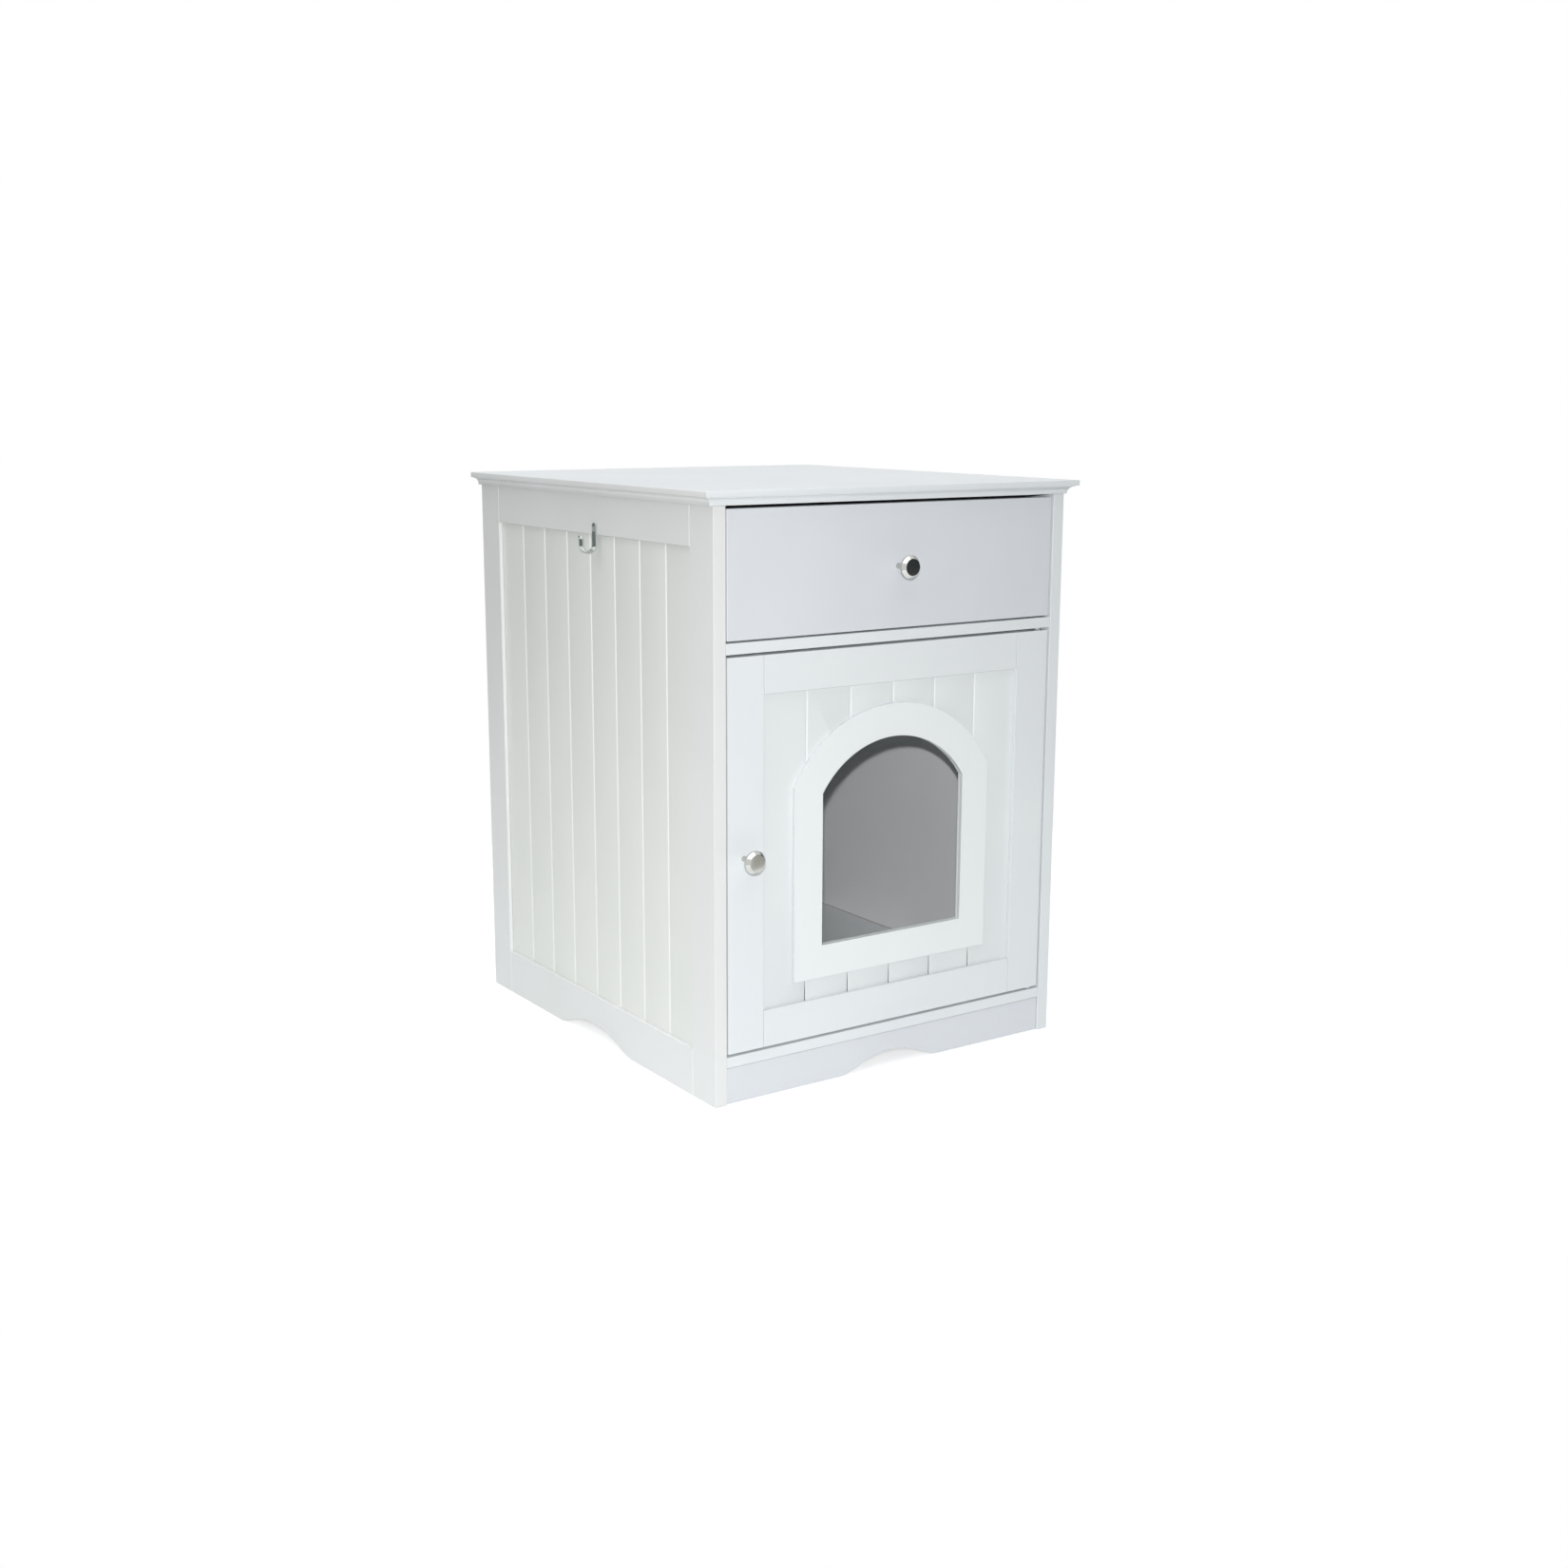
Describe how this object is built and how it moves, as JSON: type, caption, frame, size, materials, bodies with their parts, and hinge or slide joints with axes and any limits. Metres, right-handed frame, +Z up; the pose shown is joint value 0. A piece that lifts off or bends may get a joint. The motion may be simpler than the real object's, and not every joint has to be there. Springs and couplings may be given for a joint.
{
  "type": "cat litter box cabinet",
  "caption": "White cabinet for a cat litter tray: moulded top, a drawer, a hinged door with an arched cat opening, beadboard side panels, a scalloped base and a side hook for a scoop.",
  "frame": {"origin": "on the floor, on the cabinet's middle plane from left to right, half-way between the knobs' faces and the back edges", "axes": "+Z up, -Y the front with the door and the drawer, -X the left side with the hook as seen from the front"},
  "size_m": [0.4976, 0.5466, 0.641],
  "materials": {
    "painted_board": "MDF with white satin paint",
    "foiled_board": "board with white paper foil",
    "runner_enamel": "pressed steel with white baked enamel",
    "polished_nickel": "polished nickel plate",
    "zinc_plated_steel": "bright zinc-plated steel",
    "cast_zinc": "die-cast zinc",
    "beech": "plain beech",
    "nylon": "moulded nylon",
    "catch_plastic": "moulded white plastic",
    "ferrite": "ground ferrite between steel plates"
  },
  "bodies": {
    "root": {"top_board": "painted_board", "left_front_stile": "painted_board", "left_back_stile": "painted_board", "left_top_rail": "painted_board", "left_bottom_rail": "painted_board", "left_side_panel": "painted_board", "right_front_stile": "painted_board", "right_back_stile": "painted_board", "right_top_rail": "painted_board", "right_bottom_rail": "painted_board", "right_side_panel": "painted_board", "divider_shelf": "painted_board", "bottom_panel": "painted_board", "front_apron": "painted_board", "back_panel": "foiled_board", "cam_bolts": "zinc_plated_steel", "cams": "cast_zinc", "dowels": "beech", "fixed_runner_left": "runner_enamel", "fixed_runner_right": "runner_enamel", "fixed_runner_screws": "zinc_plated_steel", "pivot_pins": "zinc_plated_steel", "catch_housing": "catch_plastic", "catch_magnet": "ferrite", "catch_screws": "zinc_plated_steel", "scoop_hook": "polished_nickel", "hook_screw": "polished_nickel"},
    "drawer": {"drawer_front": "painted_board", "drawer_side_left": "foiled_board", "drawer_side_right": "foiled_board", "drawer_back": "foiled_board", "drawer_bottom": "foiled_board", "drawer_cam_bolts": "zinc_plated_steel", "drawer_cams": "cast_zinc", "drawer_back_screws": "zinc_plated_steel", "drawer_runner_left": "runner_enamel", "drawer_runner_right": "runner_enamel", "drawer_runner_screws": "zinc_plated_steel", "drawer_knob": "polished_nickel", "drawer_knob_screw": "zinc_plated_steel"},
    "door": {"door_left_stile": "painted_board", "door_right_stile": "painted_board", "door_top_rail": "painted_board", "door_bottom_rail": "painted_board", "door_panel": "painted_board", "arch_trim": "painted_board", "pivot_bushes": "nylon", "strike_plate": "zinc_plated_steel", "strike_screw": "zinc_plated_steel", "door_knob": "polished_nickel", "door_knob_screw": "zinc_plated_steel"},
    "cabinet_roller_left": {"cabinet_roller_left": "nylon"},
    "cabinet_roller_right": {"cabinet_roller_right": "nylon"},
    "drawer_roller_left": {"drawer_roller_left": "nylon"},
    "drawer_roller_right": {"drawer_roller_right": "nylon"}
  },
  "joints": [
    {"name": "drawer_slide", "type": "slide", "parent": "root", "child": "drawer", "axis": [0, -1, 0], "range_m": [0, 0.385]},
    {"name": "door_hinge", "type": "hinge", "parent": "root", "child": "door", "pos_m": [0.2038, -0.24025, 0.265], "axis": [0, 0, 1], "range_deg": [0, 110]},
    {"name": "cabinet_roller_left_turn", "type": "hinge", "parent": "root", "child": "cabinet_roller_left", "pos_m": [-0.2104, -0.22075, 0.5035], "axis": [1, 0, 0], "range_deg": [0, 2210]},
    {"name": "cabinet_roller_right_turn", "type": "hinge", "parent": "root", "child": "cabinet_roller_right", "pos_m": [0.2104, -0.22075, 0.5035], "axis": [1, 0, 0], "range_deg": [0, 2210]},
    {"name": "drawer_roller_left_turn", "type": "hinge", "parent": "drawer", "child": "drawer_roller_left", "pos_m": [-0.2104, 0.25025, 0.5035], "axis": [1, 0, 0], "range_deg": [0, 2210]},
    {"name": "drawer_roller_right_turn", "type": "hinge", "parent": "drawer", "child": "drawer_roller_right", "pos_m": [0.2104, 0.25025, 0.5035], "axis": [1, 0, 0], "range_deg": [0, 2210]}
  ],
  "couplings": [
    {"joint": "cabinet_roller_left_turn", "follows": "drawer_slide", "rad_per_m": 100},
    {"joint": "cabinet_roller_right_turn", "follows": "drawer_slide", "rad_per_m": 100},
    {"joint": "drawer_roller_left_turn", "follows": "drawer_slide", "rad_per_m": 100},
    {"joint": "drawer_roller_right_turn", "follows": "drawer_slide", "rad_per_m": 100}
  ]
}
